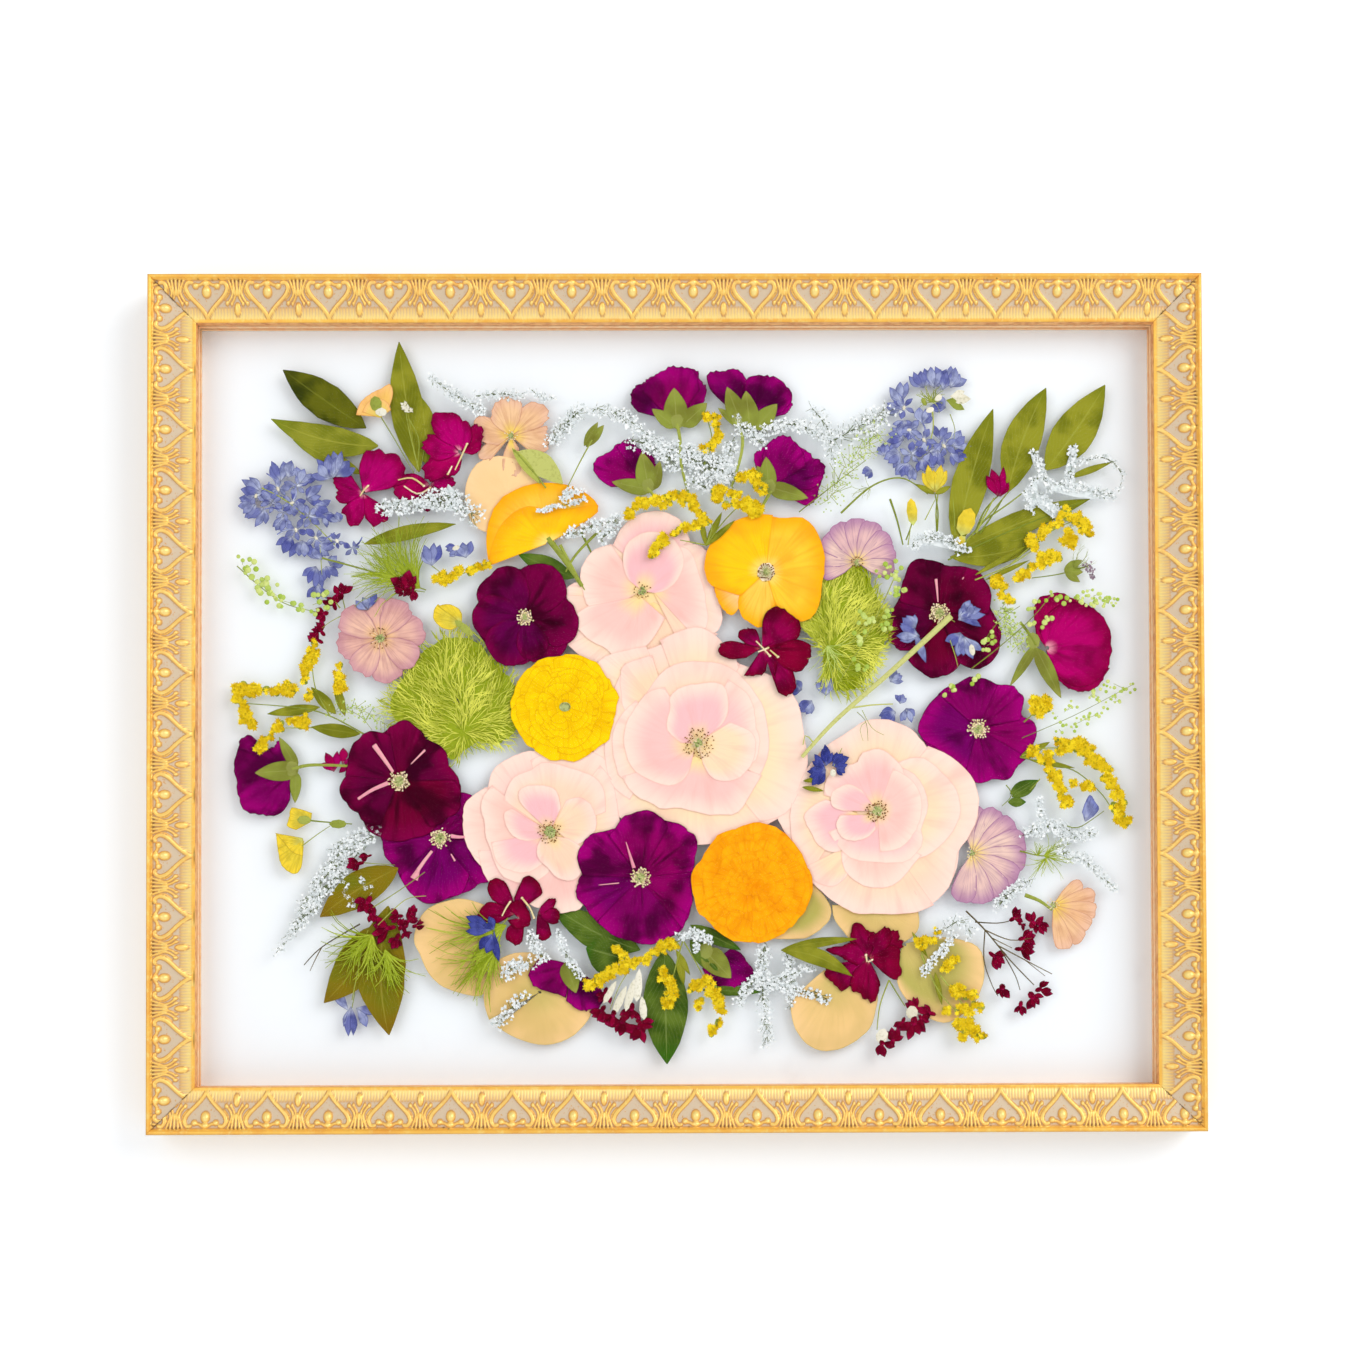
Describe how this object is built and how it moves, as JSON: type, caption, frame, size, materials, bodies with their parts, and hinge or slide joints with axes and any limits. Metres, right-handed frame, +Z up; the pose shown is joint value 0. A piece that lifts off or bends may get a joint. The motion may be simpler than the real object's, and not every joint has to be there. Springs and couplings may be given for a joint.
{
  "type": "pressed flower frame",
  "caption": "Gilded rectangular picture frame with pressed flowers and leaves held between two glass panes over a white board; hangs on a wall.",
  "frame": {"origin": "middle of the top rail's back face, midway between the two hangers that hold the frame on a wall", "axes": "+Z up, +X along the frame's length, the front faces -Y and the back face looks along +Y"},
  "size_m": [0.546, 0.0295, 0.4446],
  "materials": {
    "gilding": "carved wood moulding in warm antique gold leaf with a grey-beige wash in the recesses",
    "glass": "clear picture glass",
    "spacer": "pale pinkish raw wood strip",
    "board": "smooth white mount board",
    "hanger": "zinc-plated pressed steel",
    "pale_pink_petal": "dry pressed petals, pale pink to peach, thin and matt",
    "yellow_petal": "dry pressed petals, strong yellow",
    "orange_petal": "dry pressed petals, orange",
    "plum_petal": "dry pressed petals, plum purple",
    "magenta_petal": "dry pressed petals, magenta",
    "crimson_petal": "dry pressed petals, crimson",
    "mauve_petal": "dry pressed petals, dusty mauve pink",
    "peach_petal": "dry pressed petals, peach",
    "lime_fringe": "dry fringed bloom, lime green",
    "leaf": "pressed olive green leaf, satin",
    "dry_leaf": "pressed round leaf faded to tan and olive",
    "blue_petal": "dry pressed petals, violet blue",
    "golden_flower": "tiny dry flower heads, golden yellow",
    "silver_flower": "tiny dry flower heads, silver white"
  },
  "bodies": {
    "root": {"backing_board": "board", "backing_spacer": "spacer", "cosmos_fan": "mauve_petal", "cosmos_mauve": "mauve_petal", "cosmos_peach": "peach_petal", "cosmos_pink": "mauve_petal", "delphinium_left": "blue_petal", "delphinium_right": "blue_petal", "dianthus_left": "lime_fringe", "dianthus_right": "lime_fringe", "eucalyptus_centre": "dry_leaf", "eucalyptus_far_right": "dry_leaf", "eucalyptus_left": "dry_leaf", "eucalyptus_right": "dry_leaf", "glass_back": "glass", "glass_front": "glass", "goldenrod_right": "golden_flower", "hanger_left": "hanger", "hanger_right": "hanger", "leaf_bottom": "leaf", "leaf_low_right": "leaf", "leaf_sprig_hanging": "leaf", "leaf_sprig_left": "leaf", "leaf_sprig_right": "leaf", "leaf_upright": "leaf", "pane_spacer": "spacer", "peach_bloom": "peach_petal", "peach_petal": "peach_petal", "phlox_centre": "crimson_petal", "phlox_left": "crimson_petal", "phlox_lower_left": "crimson_petal", "phlox_lower_right": "crimson_petal", "phlox_upper": "crimson_petal", "plum_bottom": "plum_petal", "plum_left": "plum_petal", "plum_lower_left": "plum_petal", "plum_right": "plum_petal", "plum_upper_left": "plum_petal", "plum_upper_right": "plum_petal", "poppy_folded": "orange_petal", "poppy_yellow": "yellow_petal", "rail_bottom": "gilding", "rail_left": "gilding", "rail_right": "gilding", "rail_top": "gilding", "ranunculus_orange": "orange_petal", "ranunculus_yellow": "yellow_petal", "rose_left": "pale_pink_petal", "rose_middle": "pale_pink_petal", "rose_right": "pale_pink_petal", "rose_top": "pale_pink_petal", "silver_spray_right": "silver_flower", "spray_rose_bottom_left": "plum_petal", "spray_rose_bottom_right": "plum_petal", "spray_rose_bud_left": "plum_petal", "spray_rose_bud_right": "plum_petal", "spray_rose_far_left": "plum_petal", "spray_rose_far_right": "magenta_petal", "spray_rose_top_left": "plum_petal", "spray_rose_top_right": "plum_petal"}
  },
  "joints": []
}
